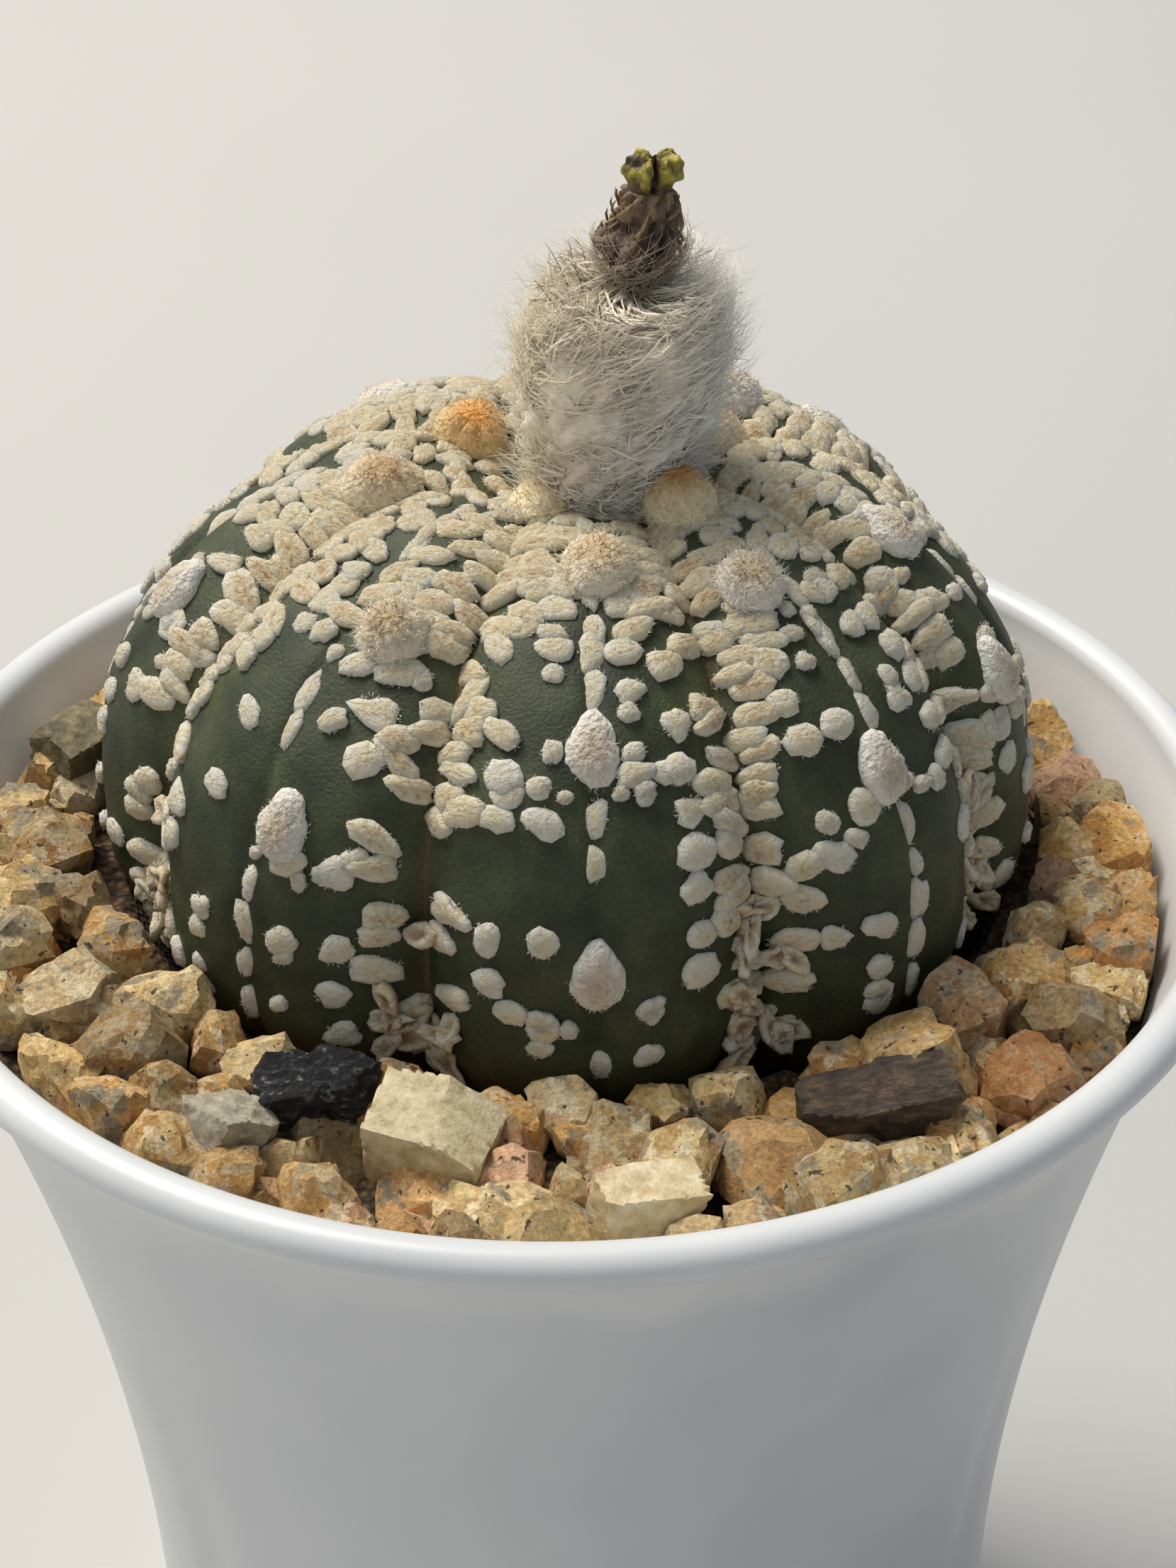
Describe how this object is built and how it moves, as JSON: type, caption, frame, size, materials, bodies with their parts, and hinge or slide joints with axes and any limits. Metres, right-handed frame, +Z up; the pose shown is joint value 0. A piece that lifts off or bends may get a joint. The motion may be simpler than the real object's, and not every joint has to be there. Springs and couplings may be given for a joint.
{
  "type": "potted star cactus",
  "caption": "Flat-globed ribbed star cactus with white wool flecks and a spent woolly flower, in a flared round white plastic pot dressed with tan grit.",
  "frame": {"origin": "on the pot's axis, on the surface that the pot stands on", "axes": "+Z up along the pot's axis; -Y is the front of the plant as pictured; +X is to the right seen from the front"},
  "size_m": [0.09, 0.09, 0.1266],
  "materials": {
    "white_plastic": "white moulded plastic, slightly translucent, soft gloss",
    "potting_mix": "dark gritty potting mix, rough",
    "tan_grit": "tan, cream and orange granite grit, rough",
    "black_stone": "black crystalline chip, slightly glossy",
    "dark_stone": "dark grey-brown stone, rough",
    "pale_stone": "pale squarish chip, matte",
    "grey_stone": "pale grey-green chip, matte",
    "olive_stone": "olive-brown stone, rough",
    "quartz": "pale translucent quartz chip",
    "cactus_skin": "dark grey-green plant skin with white wool flecks, matte",
    "grey_wool": "grey-white plant wool, soft and fuzzy",
    "withered_petals": "brown shrivelled dry petals",
    "cut_flower_end": "yellow-green crinkled plant tissue"
  },
  "bodies": {
    "root": {"pot": "white_plastic", "soil": "potting_mix", "gravel": "tan_grit", "black_stone": "black_stone", "dark_stone": "dark_stone", "pale_block": "pale_stone", "grey_stone": "grey_stone", "olive_stone": "olive_stone", "quartz_stone": "quartz", "cactus_body": "cactus_skin", "flower_wool": "grey_wool", "withered_flower": "withered_petals", "flower_tip": "cut_flower_end"}
  },
  "joints": []
}
